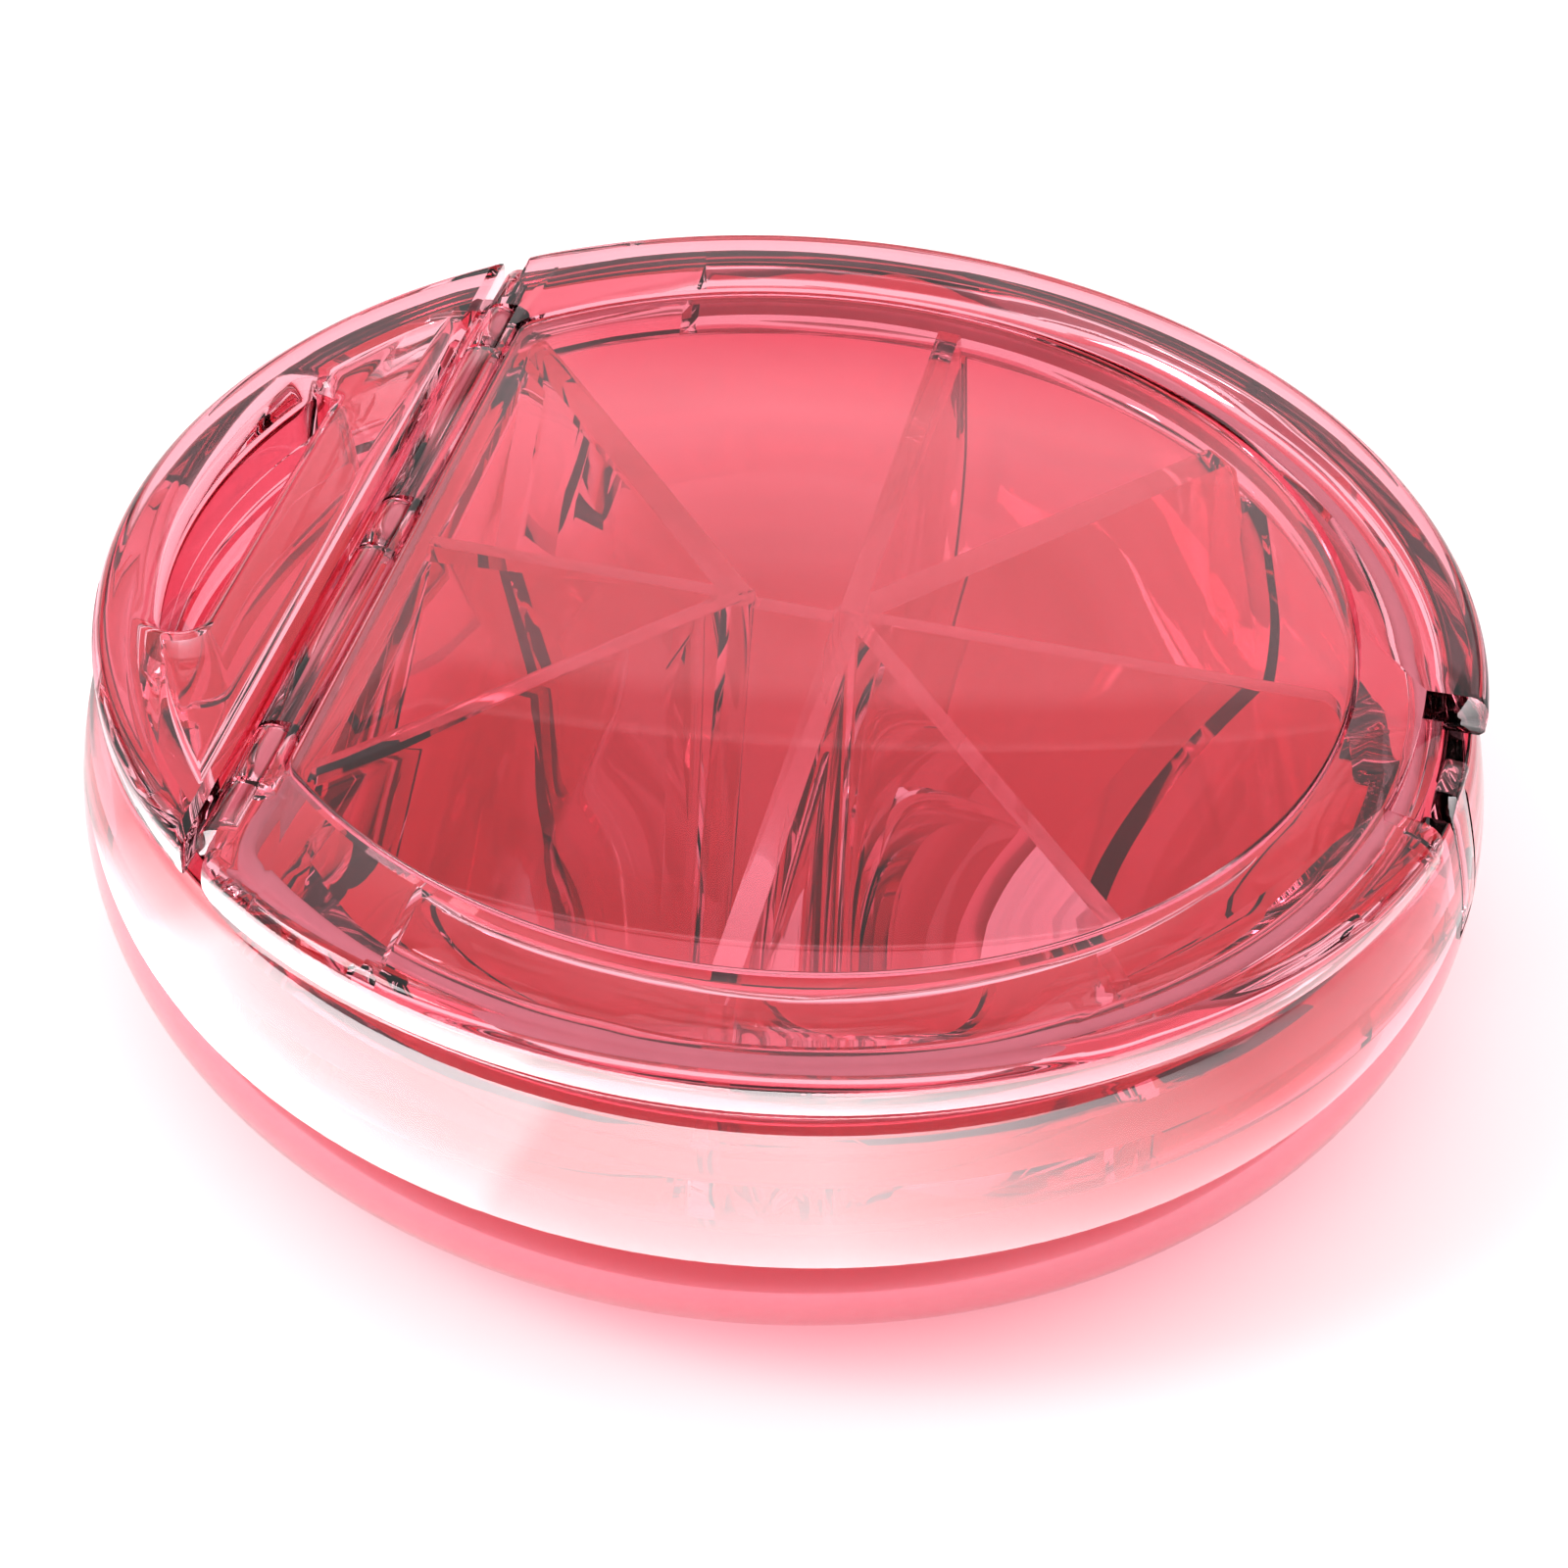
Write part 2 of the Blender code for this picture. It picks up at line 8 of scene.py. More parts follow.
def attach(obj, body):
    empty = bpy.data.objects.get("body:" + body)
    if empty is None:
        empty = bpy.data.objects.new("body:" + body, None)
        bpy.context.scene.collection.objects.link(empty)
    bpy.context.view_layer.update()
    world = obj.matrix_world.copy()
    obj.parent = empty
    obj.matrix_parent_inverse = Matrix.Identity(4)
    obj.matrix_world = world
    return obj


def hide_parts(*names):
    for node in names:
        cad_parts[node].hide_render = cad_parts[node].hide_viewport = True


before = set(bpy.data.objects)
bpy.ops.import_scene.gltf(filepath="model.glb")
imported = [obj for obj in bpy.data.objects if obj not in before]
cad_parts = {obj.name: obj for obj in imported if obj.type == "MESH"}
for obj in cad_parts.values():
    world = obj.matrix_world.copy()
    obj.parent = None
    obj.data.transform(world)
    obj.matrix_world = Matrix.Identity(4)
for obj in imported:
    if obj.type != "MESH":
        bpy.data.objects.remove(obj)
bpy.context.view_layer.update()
print("frame loaded:", len(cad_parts), "pieces")

mm = 0.001

# sizes that more than one piece uses, in millimetres
case = {
    "top": 26.5,
    "seam": 23.7,
    "baseTop": 23.4,
    "bodyRadius": 45.0,
    "baseTopRadius": 43.0,
    "lidRadius": 43.6,
    "bottomRound": 13.8,
    "hingeX": -26.8,
    "hingeZ": 25.05,
    "deckEdge": -28.55,
    "plugRadius": 40.9,
    "plugZ": 20.9,
    "flangeZ": 19.5,
    "turns": 240,
    "far": 60.0,  # further out than any piece
    "past": 1.0,  # how far a cutter runs on past what it cuts
    "overlap": 0.3,  # how deep two joined solids run into each other
}

# soft edges: an edge sharper than this is rounded, and one sharper than the next stays crisp
edges = {"roundOver": 38, "crispOver": 32}


def arcPoints(cx, cy, radius, startDeg, endDeg, steps):
    points = []
    for i in range(steps + 1):
        a = math.radians(startDeg + (endDeg - startDeg) * i / steps)
        points.append((cx + radius * math.cos(a), cy + radius * math.sin(a)))
    return points


# millimetre bmesh to an object in metres
def newPiece(name, bm):
    bmesh.ops.scale(bm, vec=(mm, mm, mm), verts=bm.verts)
    bmesh.ops.recalc_face_normals(bm, faces=bm.faces)
    mesh = bpy.data.meshes.new(name)
    bm.to_mesh(mesh)
    bm.free()
    piece = bpy.data.objects.new(name, mesh)
    bpy.context.scene.collection.objects.link(piece)
    return piece


def stackRings(rings):
    bm = bmesh.new()
    levels = [[bm.verts.new((x, y, z)) for x, y in outline] for outline, z in rings]
    for low, high in zip(levels, levels[1:]):
        count = len(low)
        for i in range(count):
            j = (i + 1) % count
            bm.faces.new((low[i], low[j], high[j], high[i]))
    bm.faces.new(list(reversed(levels[0])))
    bm.faces.new(levels[-1])
    return bm


# round solid through (radius, height) points, flat at both ends
def turned(profile):
    steps = case["turns"]
    return stackRings([(arcPoints(0, 0, r, 0, 360, steps)[:-1], z) for r, z in profile])


# round solid cut off along the upright plane x = chord
def sliced(profile, chord, towardLid):
    rings = []
    for r, z in profile:
        reach = math.degrees(math.acos(chord / r))
        if towardLid:
            rings.append((arcPoints(0, 0, r, -reach, reach, case["turns"]), z))
        else:
            rings.append((arcPoints(0, 0, r, reach, 360 - reach, case["turns"] // 3), z))
    return stackRings(rings)


def box(low, high):
    outline = [(low[0], low[1]), (high[0], low[1]), (high[0], high[1]), (low[0], high[1])]
    return stackRings([(outline, low[2]), (outline, high[2])])


def collar(outer, inner, bottom, top):
    bm = bmesh.new()
    rings = []
    for outline, z in ((outer, bottom), (outer, top), (inner, top), (inner, bottom)):
        rings.append([bm.verts.new((x, y, z)) for x, y in outline])
    for a, b in zip(rings, rings[1:] + rings[:1]):
        for i in range(len(a)):
            j = (i + 1) % len(a)
            bm.faces.new((a[i], a[j], b[j], b[i]))
    return bm


def rodAlongY(radius, x, z, startY, endY, steps=48):
    half = 180 / steps
    circle = arcPoints(0, 0, radius, half, 360 + half, steps)[:-1]
    bm = stackRings([(circle, startY), (circle, endY)])
    bmesh.ops.transform(bm, matrix=Matrix.Rotation(math.radians(-90), 4, "X"), verts=bm.verts)
    bmesh.ops.translate(bm, vec=(x, 0, z), verts=bm.verts)
    return bm


def cutDisc(radius, chord, corner, steps=12):
    inner = radius - corner
    cornerX = chord + corner
    cornerY = math.sqrt(inner**2 - cornerX**2)
    reach = math.degrees(math.atan2(cornerY, cornerX))
    points = arcPoints(cornerX, -cornerY, corner, 180, 360 - reach, steps)
    points += arcPoints(0, 0, radius, -reach, reach, case["turns"])[1:-1]
    points += arcPoints(cornerX, cornerY, corner, reach, 180, steps)
    return points


# cuts, joins or keeps the common part; the tool is a bmesh or an object made earlier
def boolean(piece, shape, how):
    tool = newPiece("tool", shape) if isinstance(shape, bmesh.types.BMesh) else shape
    tool.hide_render = True
    mod = piece.modifiers.new(how, "BOOLEAN")
    mod.operation = how
    mod.solver = "MANIFOLD"
    mod.object = tool


# bakes the modifiers into a plain mesh, then softens its edges
def settle(piece, bevel=0.0, segments=2):
    if bevel:
        mod = piece.modifiers.new("soft edges", "BEVEL")
        mod.width = bevel * mm
        mod.segments = segments
        mod.limit_method = "ANGLE"
        mod.angle_limit = math.radians(edges["roundOver"])
        mod.miter_outer = "MITER_ARC"
        mod.use_clamp_overlap = True
    bpy.context.view_layer.update()
    graph = bpy.context.evaluated_depsgraph_get()
    mesh = bpy.data.meshes.new_from_object(piece.evaluated_get(graph))
    tools = [m.object for m in piece.modifiers if m.type == "BOOLEAN"]
    piece.modifiers.clear()
    old = piece.data
    piece.data = mesh
    bpy.data.meshes.remove(old)
    for tool in tools:
        dropTool(tool)
    piece.data.materials.clear()
    piece.data.shade_smooth()
    piece.data.set_sharp_from_angle(angle=math.radians(edges["crispOver"]))


def dropTool(tool):
    for mod in list(tool.modifiers):
        if mod.type == "BOOLEAN" and mod.object:
            dropTool(mod.object)
    bpy.data.objects.remove(tool)


def nodeMaterial(name):
    material = bpy.data.materials.new(name)
    material.use_nodes = True
    tree = material.node_tree
    return material, tree, tree.nodes["Principled BSDF"]


def addNode(tree, kind, **settings):
    node = tree.nodes.new(kind)
    for key, value in settings.items():
        if key in node.inputs:
            node.inputs[key].default_value = value
        else:
            setattr(node, key, value)
    return node


plastic = {"ior": 1.49, "flowScale": 90.0, "markScale": 700.0, "markRange": (0.62, 0.80), "markRoughness": 0.03,
           "throughTint": 0.30, "throughLoss": 0.975}


# tinted moulded plastic: the tint drifts a little along the flow, fine handling marks on the gloss
def clearPlastic(name, tint, deepTint):
    material, tree, shader = nodeMaterial(name)
    link = tree.links.new
    coords = addNode(tree, "ShaderNodeTexCoord")
    flow = addNode(tree, "ShaderNodeTexNoise", Scale=plastic["flowScale"], Detail=2.0, Roughness=0.5)
    link(coords.outputs["Object"], flow.inputs["Vector"])
    tintMix = addNode(tree, "ShaderNodeMix", data_type="RGBA")
    tintMix.inputs["A"].default_value = (*tint, 1)
    tintMix.inputs["B"].default_value = (*deepTint, 1)
    link(flow.outputs["Fac"], tintMix.inputs["Factor"])
    link(tintMix.outputs["Result"], shader.inputs["Base Color"])
    marks = addNode(tree, "ShaderNodeTexNoise", Scale=plastic["markScale"], Detail=4.0, Roughness=0.65)
    link(coords.outputs["Object"], marks.inputs["Vector"])
    gloss = addNode(tree, "ShaderNodeMapRange")
    gloss.inputs["From Min"].default_value, gloss.inputs["From Max"].default_value = plastic["markRange"]
    gloss.inputs["To Min"].default_value = 0.0
    gloss.inputs["To Max"].default_value = plastic["markRoughness"]
    link(marks.outputs["Fac"], gloss.inputs["Value"])
    link(gloss.outputs["Result"], shader.inputs["Roughness"])
    shader.inputs["Transmission Weight"].default_value = 1.0
    shader.inputs["IOR"].default_value = plastic["ior"]
    # light on its way to the floor goes straight through and takes up the tint
    through = addNode(tree, "ShaderNodeBsdfTransparent")
    weaker = addNode(tree, "ShaderNodeGamma", Gamma=plastic["throughTint"])
    link(tintMix.outputs["Result"], weaker.inputs["Color"])
    loss = addNode(tree, "ShaderNodeMix", data_type="RGBA", blend_type="MULTIPLY")
    loss.inputs["Factor"].default_value = 1.0
    loss.inputs["B"].default_value = (*[plastic["throughLoss"]] * 3, 1)
    link(weaker.outputs["Color"], loss.inputs["A"])
    link(loss.outputs["Result"], through.inputs["Color"])
    path = addNode(tree, "ShaderNodeLightPath")
    either = addNode(tree, "ShaderNodeMath", operation="MAXIMUM")
    link(path.outputs["Is Shadow Ray"], either.inputs[0])
    link(path.outputs["Is Diffuse Ray"], either.inputs[1])
    mix = addNode(tree, "ShaderNodeMixShader")
    link(either.outputs["Value"], mix.inputs["Fac"])
    link(shader.outputs["BSDF"], mix.inputs[1])
    link(through.outputs["BSDF"], mix.inputs[2])
    link(mix.outputs["Shader"], tree.nodes["Material Output"].inputs["Surface"])
    return material


looks = {
    "body": clearPlastic("clear pink body", (0.86, 0.32, 0.39), (0.80, 0.23, 0.30)),
    "tray": clearPlastic("clear pink tray", (0.96, 0.68, 0.73), (0.94, 0.58, 0.64)),
    "lid": clearPlastic("clear pink lid", (0.88, 0.43, 0.50), (0.83, 0.34, 0.41)),
    "window": clearPlastic("clear pink window", (0.95, 0.60, 0.66), (0.93, 0.53, 0.60)),
}


silicone = {"dark": (0.72, 0.62, 0.66), "pale": (0.86, 0.78, 0.81), "roughness": 0.22, "clearness": 0.35,
            "ior": 1.41}


def siliconeLook():
    material, tree, shader = nodeMaterial("clear silicone")
    link = tree.links.new
    coords = addNode(tree, "ShaderNodeTexCoord")
    cloud = addNode(tree, "ShaderNodeTexNoise", Scale=300.0, Detail=3.0)
    link(coords.outputs["Object"], cloud.inputs["Vector"])
    ramp = addNode(tree, "ShaderNodeValToRGB")
    ramp.color_ramp.elements[0].color = (*silicone["dark"], 1)
    ramp.color_ramp.elements[1].color = (*silicone["pale"], 1)
    link(cloud.outputs["Fac"], ramp.inputs["Fac"])
    link(ramp.outputs["Color"], shader.inputs["Base Color"])
    shader.inputs["Roughness"].default_value = silicone["roughness"]
    shader.inputs["Transmission Weight"].default_value = silicone["clearness"]
    shader.inputs["IOR"].default_value = silicone["ior"]
    return material


# the grain is drawn out along the pin
steel = {"dark": (0.55, 0.53, 0.53), "pale": (0.80, 0.78, 0.78), "grain": (4000, 150, 4000), "roughness": 0.28}


def steelLook():
    material, tree, shader = nodeMaterial("pin steel")
    link = tree.links.new
    coords = addNode(tree, "ShaderNodeTexCoord")
    stretch = addNode(tree, "ShaderNodeMapping")
    stretch.inputs["Scale"].default_value = steel["grain"]
    link(coords.outputs["Object"], stretch.inputs["Vector"])
    grain = addNode(tree, "ShaderNodeTexNoise", Scale=1.0, Detail=3.0)
    link(stretch.outputs["Vector"], grain.inputs["Vector"])
    ramp = addNode(tree, "ShaderNodeValToRGB")
    ramp.color_ramp.elements[0].color = (*steel["dark"], 1)
    ramp.color_ramp.elements[1].color = (*steel["pale"], 1)
    link(grain.outputs["Fac"], ramp.inputs["Fac"])
    link(ramp.outputs["Color"], shader.inputs["Base Color"])
    shader.inputs["Metallic"].default_value = 1.0
    shader.inputs["Roughness"].default_value = steel["roughness"]
    return material


print("plastics, silicone and steel ready")

baseShell = {"wall": 1.8, "floor": 1.8, "ledgeRadius": 38.6, "ledgeTop": 18.0, "ledgeThick": 1.2,
             "ledgeChamfer": 0.2, "rimRound": 0.35}


def wallRadius(z):
    share = (case["baseTop"] - z) / (case["baseTop"] - case["bottomRound"])
    grow = case["bodyRadius"] - case["baseTopRadius"]
    return case["baseTopRadius"] + grow * math.sin(share * math.pi / 2)


def cupProfile(inset, floorZ, wallSteps=14):
    rounding = case["bottomRound"]
    centreR = case["bodyRadius"] - rounding
    points = arcPoints(centreR, rounding, rounding - inset, -90, 0, 26)
    points[0] = (points[0][0], floorZ)
    for i in range(1, wallSteps + 1):
        z = rounding + (case["baseTop"] - rounding) * i / wallSteps
        points.append((wallRadius(z) - inset, z))
    return points


strap = {"innerX": -34.9, "radius": 39.6, "corner": 1.3, "wall": 1.0, "flare": 1.6, "linerZ": 19.5}


def slotOutline(grow, steps=14):
    cornerX = strap["innerX"] - strap["corner"]
    inner = strap["radius"] - strap["corner"]
    cornerY = math.sqrt(inner**2 - cornerX**2)
    corner = strap["corner"] + grow
    reach = math.degrees(math.asin(cornerY / inner))
    points = arcPoints(cornerX, -cornerY, corner, reach - 180, 0, steps)
    points += arcPoints(cornerX, cornerY, corner, 0, 180 - reach, steps)
    points += arcPoints(0, 0, inner + corner, 180 - reach, 180 + reach, 4 * steps)[1:-1]
    return points


def slotSpace(bottom, top, flareAtTop, steps=10):
    rings = []
    for i in range(steps + 1):
        a = math.radians(90 * i / steps)
        rings.append((slotOutline(strap["flare"] * (1 - math.cos(a))), strap["flare"] * (1 - math.sin(a))))
    if flareAtTop:
        rings = [(outline, top - rise) for outline, rise in rings]
        rings = [(slotOutline(0), bottom)] + rings + [(slotOutline(strap["flare"]), top + case["past"])]
    else:
        rings = [(outline, bottom + rise) for outline, rise in reversed(rings)]
        rings = [(slotOutline(strap["flare"]), bottom - case["past"])] + rings + [(slotOutline(0), top)]
    return stackRings(rings)


latch = {"angle": -7.5, "halfNotch": 8.8, "notchRadius": 39.6, "notchDepth": 2.2, "width": 3.4,
         "thick": 1.5, "foot": 14.9, "gap": 0.3, "head": 1.9, "shelf": 0.15, "openTo": 27.0}


def atNotch(bm):
    bmesh.ops.transform(bm, matrix=Matrix.Rotation(math.radians(latch["angle"]), 4, "Z"), verts=bm.verts)
    return bm


def makeBase():
    outer = cupProfile(0.0, 0.0)
    inner = cupProfile(baseShell["wall"], baseShell["floor"])
    top = baseShell["ledgeTop"]
    thick = baseShell["ledgeThick"]
    low = top - 2 * thick
    joint = case["overlap"]
    inside = [p for p in inner if p[1] < low - joint]
    inside.append((wallRadius(low) - baseShell["wall"], low))
    inside.append((baseShell["ledgeRadius"] + joint, top - thick))
    inside.append((baseShell["ledgeRadius"], top - thick + joint))
    inside.append((baseShell["ledgeRadius"], top - baseShell["ledgeChamfer"]))
    inside.append((baseShell["ledgeRadius"] + baseShell["ledgeChamfer"], top))
    inside.append((wallRadius(top) - baseShell["wall"], top))
    inside += [p for p in inner if p[1] > top + joint]
    # soften the rim of the cup
    soft = baseShell["rimRound"]
    outer[-1] = (outer[-1][0], outer[-1][1] - soft)
    rimOut = arcPoints(outer[-1][0] - soft, case["baseTop"] - soft, soft, 0, 90, 5)[1:]
    inside[-1] = (inside[-1][0], inside[-1][1] - soft)
    rimIn = arcPoints(inside[-1][0] + soft, case["baseTop"] - soft, soft, 90, 180, 5)[:-1]
    base = newPiece("outerCup", turned(outer + rimOut + rimIn + inside[::-1]))
    lining = slotOutline(strap["wall"])
    tube = newPiece("strap tube", stackRings([(lining, case["past"]), (lining, strap["linerZ"] - joint)]))
    boolean(tube, turned(outer + [(outer[-1][0], case["baseTop"])]), "INTERSECT")
    boolean(base, tube, "UNION")
    dropX = -strap["innerX"] - case["bodyRadius"] + case["bottomRound"]
    footZ = case["bottomRound"] - math.sqrt(case["bottomRound"]**2 - dropX**2)
    boolean(base, slotSpace(footZ, strap["linerZ"] + case["past"], False), "DIFFERENCE")
    half = latch["width"] / 2 + latch["gap"]
    low = (case["plugRadius"] + latch["shelf"], -half, latch["foot"] - latch["gap"])
    opening = atNotch(box(low, (case["far"], half, latch["openTo"])))
    boolean(base, opening, "DIFFERENCE")
    settle(base)
    base.data.materials.append(looks["body"])
    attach(base, "base")
    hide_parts("base_shell")
    print("base shell:", len(base.data.polygons), "faces")


tray = {"radius": 37.4, "wall": 1.2, "chord": -24.6, "bottom": 2.1, "round": 9.0, "flangeRadius": 40.9,
        "flangeChord": -28.0, "flangeThick": 1.2, "flangeEdge": 0.25, "chordTop": 23.4,
        "dividerTop": 24.7, "dividerRadius": 34.2, "dividerEnd": 1.5, "dividerChord": -23.7,
        "hubHalf": 3.6, "webLow": (-0.62, 0.7), "webSide": 0.6, "webDrop": 0.4,
        "hubPost": 1.15, "postSteps": 24, "postFoot": 0.8, "postDrop": 0.08,
        "clipFoot": 0.5, "clipRise": 0.2, "clipTop": 40.0}

# heading of each wall in degrees, and its thickness at the top in millimetres
dividers = [(0, 1.1), (45, 2.1), (90, 1.5), (135, 2.0), (180, 1.1), (-135, 1.2), (-90, 1.7), (-45, 1.2)]

dividerFan = {"Wall Length": 60.0, "Wall Foot": 1.0, "Foot Taper": 0.72}


def trayCup(inset, top):
    centreR = tray["radius"] - tray["round"]
    profile = arcPoints(centreR, tray["bottom"] + tray["round"], tray["round"] - inset, -90, 0, 20)
    profile.append((profile[-1][0], top))
    return sliced(profile, tray["chord"] + inset, True)


# one tapered wall stands on every point, turned by its heading and as thick as the point says
def dividerFanGroup():
    group = bpy.data.node_groups.new("divider fan", "GeometryNodeTree")
    face = group.interface
    face.new_socket("Geometry", in_out="INPUT", socket_type="NodeSocketGeometry")
    for name in ("Wall Length", "Wall Foot", "Wall Top", "Foot Taper"):
        face.new_socket(name, in_out="INPUT", socket_type="NodeSocketFloat")
    face.new_socket("Material", in_out="INPUT", socket_type="NodeSocketMaterial")
    face.new_socket("Geometry", in_out="OUTPUT", socket_type="NodeSocketGeometry")
    link = group.links.new
    given = group.nodes.new("NodeGroupInput")
    out = group.nodes.new("NodeGroupOutput")
    slab = addNode(group, "GeometryNodeMeshCube")
    slab.inputs["Size"].default_value = (1.0, 1.0, 1.0)
    # the slab reaches from the hub outwards and from the foot up to the top
    spot = addNode(group, "GeometryNodeInputPosition")
    parts = addNode(group, "ShaderNodeSeparateXYZ")
    link(spot.outputs["Position"], parts.inputs["Vector"])
    along = addNode(group, "ShaderNodeMath", operation="ADD")
    link(parts.outputs["X"], along.inputs[0])
    along.inputs[1].default_value = 0.5
    reach = addNode(group, "ShaderNodeMath", operation="MULTIPLY")
    link(along.outputs["Value"], reach.inputs[0])
    link(given.outputs["Wall Length"], reach.inputs[1])
    lift = addNode(group, "ShaderNodeMath", operation="ADD")
    link(parts.outputs["Z"], lift.inputs[0])
    lift.inputs[1].default_value = 0.5
    height = addNode(group, "ShaderNodeMapRange")
    link(lift.outputs["Value"], height.inputs["Value"])
    link(given.outputs["Wall Foot"], height.inputs["To Min"])
    link(given.outputs["Wall Top"], height.inputs["To Max"])
    taper = addNode(group, "ShaderNodeMapRange")
    link(lift.outputs["Value"], taper.inputs["Value"])
    link(given.outputs["Foot Taper"], taper.inputs["To Min"])
    across = addNode(group, "ShaderNodeMath", operation="MULTIPLY")
    link(parts.outputs["Y"], across.inputs[0])
    link(taper.outputs["Result"], across.inputs[1])
    place = addNode(group, "ShaderNodeCombineXYZ")
    link(reach.outputs["Value"], place.inputs["X"])
    link(across.outputs["Value"], place.inputs["Y"])
    link(height.outputs["Result"], place.inputs["Z"])
    shape = addNode(group, "GeometryNodeSetPosition")
    link(slab.outputs["Mesh"], shape.inputs["Geometry"])
    link(place.outputs["Vector"], shape.inputs["Position"])
    heading = addNode(group, "GeometryNodeInputNamedAttribute", data_type="FLOAT")
    heading.inputs["Name"].default_value = "heading"
    turn = addNode(group, "ShaderNodeCombineXYZ")
    link(heading.outputs["Attribute"], turn.inputs["Z"])
    thickness = addNode(group, "GeometryNodeInputNamedAttribute", data_type="FLOAT")
    thickness.inputs["Name"].default_value = "thickness"
    size = addNode(group, "ShaderNodeCombineXYZ")
    size.inputs["X"].default_value = 1.0
    size.inputs["Z"].default_value = 1.0
    link(thickness.outputs["Attribute"], size.inputs["Y"])
    stand = addNode(group, "GeometryNodeInstanceOnPoints")
    link(given.outputs["Geometry"], stand.inputs["Points"])
    link(shape.outputs["Geometry"], stand.inputs["Instance"])
    link(turn.outputs["Vector"], stand.inputs["Rotation"])
    link(size.outputs["Vector"], stand.inputs["Scale"])
    merged = addNode(group, "GeometryNodeMeshBoolean", operation="UNION", solver="MANIFOLD")
    link(stand.outputs["Instances"], merged.inputs["Mesh 2"])
    real = addNode(group, "GeometryNodeRealizeInstances")
    link(merged.outputs["Mesh"], real.inputs["Geometry"])
    paint = addNode(group, "GeometryNodeSetMaterial")
    link(real.outputs["Geometry"], paint.inputs["Geometry"])
    link(given.outputs["Material"], paint.inputs["Material"])
    link(paint.outputs["Geometry"], out.inputs["Geometry"])
    return group


# the eight walls round the hub's two ends
def makeDividerWalls():
    points = []
    for heading, thick in dividers:
        side = -1 if abs(heading) > 90 else 1
        start = Vector((side * tray["hubHalf"], 0))
        end = Vector((math.cos(math.radians(heading)), math.sin(math.radians(heading)))) * tray["dividerRadius"]
        if abs(heading) == 90:
            end.x = start.x
        points.append((start, (end - start).angle_signed(Vector((1, 0))), thick))
    mesh = bpy.data.meshes.new("hub points")
    mesh.from_pydata([(p.x * mm, p.y * mm, 0) for p, _, _ in points], [], [])
    turns = mesh.attributes.new("heading", "FLOAT", "POINT")
    turns.data.foreach_set("value", [turn for _, turn, _ in points])
    thicks = mesh.attributes.new("thickness", "FLOAT", "POINT")
    thicks.data.foreach_set("value", [thick * mm for _, _, thick in points])
    walls = bpy.data.objects.new("walls", mesh)
    bpy.context.scene.collection.objects.link(walls)
    group = dividerFanGroup()
    mod = walls.modifiers.new("divider fan", "NODES")
    mod.node_group = group
    ids = {item.name: item.identifier for item in group.interface.items_tree if item.in_out == "INPUT"}
    mod[ids["Wall Length"]] = dividerFan["Wall Length"] * mm
    mod[ids["Wall Foot"]] = dividerFan["Wall Foot"] * mm
    mod[ids["Wall Top"]] = tray["dividerTop"] * mm
    mod[ids["Foot Taper"]] = dividerFan["Foot Taper"]
    mod[ids["Material"]] = looks["tray"]
    bpy.context.view_layer.update()
    graph = bpy.context.evaluated_depsgraph_get()
    walls.data = bpy.data.meshes.new_from_object(walls.evaluated_get(graph))
    walls.modifiers.clear()
    print("divider walls:", len(walls.data.polygons), "faces")
    return walls


def makeTray():
    flange = case["flangeZ"]
    thick = tray["flangeThick"]
    far = case["far"]
    piece = newPiece("dividerTray", trayCup(0.0, flange - thick / 2))
    edge = tray["flangeEdge"]
    flangeProfile = [
        (tray["flangeRadius"] - edge, flange - thick), (tray["flangeRadius"], flange - thick + edge),
        (tray["flangeRadius"], flange - edge), (tray["flangeRadius"] - edge, flange),
    ]
    boolean(piece, sliced(flangeProfile, tray["flangeChord"], True), "UNION")
    chordWall = newPiece("chord wall", box((tray["chord"], -far, flange - thick / 2),
                                           (tray["chord"] + tray["wall"] * 1.5, far, tray["chordTop"])))
    limit = sliced([(tray["dividerRadius"], flange - thick), (tray["dividerRadius"], case["top"])],
                   tray["flangeChord"], True)
    boolean(chordWall, limit, "INTERSECT")
    boolean(piece, chordWall, "UNION")
    boolean(piece, trayCup(tray["wall"], case["top"] + case["past"]), "DIFFERENCE")
    # the hub's web and posts keep clear of the dividers' own faces, so that nothing lies face on face
    low = (-tray["hubHalf"], *tray["webLow"])
    high = (tray["hubHalf"], tray["webSide"], tray["dividerTop"] - tray["webDrop"])
    walls = makeDividerWalls()
    boolean(walls, box(low, high), "UNION")
    postTurn = 180 / tray["postSteps"]
    for x in (-tray["hubHalf"], tray["hubHalf"]):
        circle = arcPoints(x, 0, tray["hubPost"], postTurn, 360 + postTurn, tray["postSteps"])[:-1]
        post = stackRings([(circle, tray["postFoot"]), (circle, tray["dividerTop"] - tray["postDrop"])])
        boolean(walls, post, "UNION")
    # clip the walls to the room below the closed lid
    half = tray["wall"] / 2
    room = newPiece("room", trayCup(half, case["top"]))
    r = tray["dividerRadius"]
    rounding = tray["dividerEnd"]
    top = tray["dividerTop"] + tray["clipRise"]
    envelope = [(tray["flangeRadius"], tray["clipFoot"]), (tray["flangeRadius"], flange), (r, flange)]
    envelope += arcPoints(r - rounding, top - rounding, rounding, 0, 90, 10)
    boolean(room, sliced(envelope, tray["flangeChord"], True), "INTERSECT")
    highEnds = box((-far, -far, tray["chordTop"]), (tray["dividerChord"], far, tray["clipTop"]))
    boolean(room, highEnds, "DIFFERENCE")
    boolean(walls, room, "INTERSECT")
    boolean(piece, walls, "UNION")
    settle(piece, bevel=0.3, segments=3)
    piece.data.materials.append(looks["tray"])
    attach(piece, "base")
    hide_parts("divider_tray")
    print("divider tray:", len(piece.data.polygons), "faces")


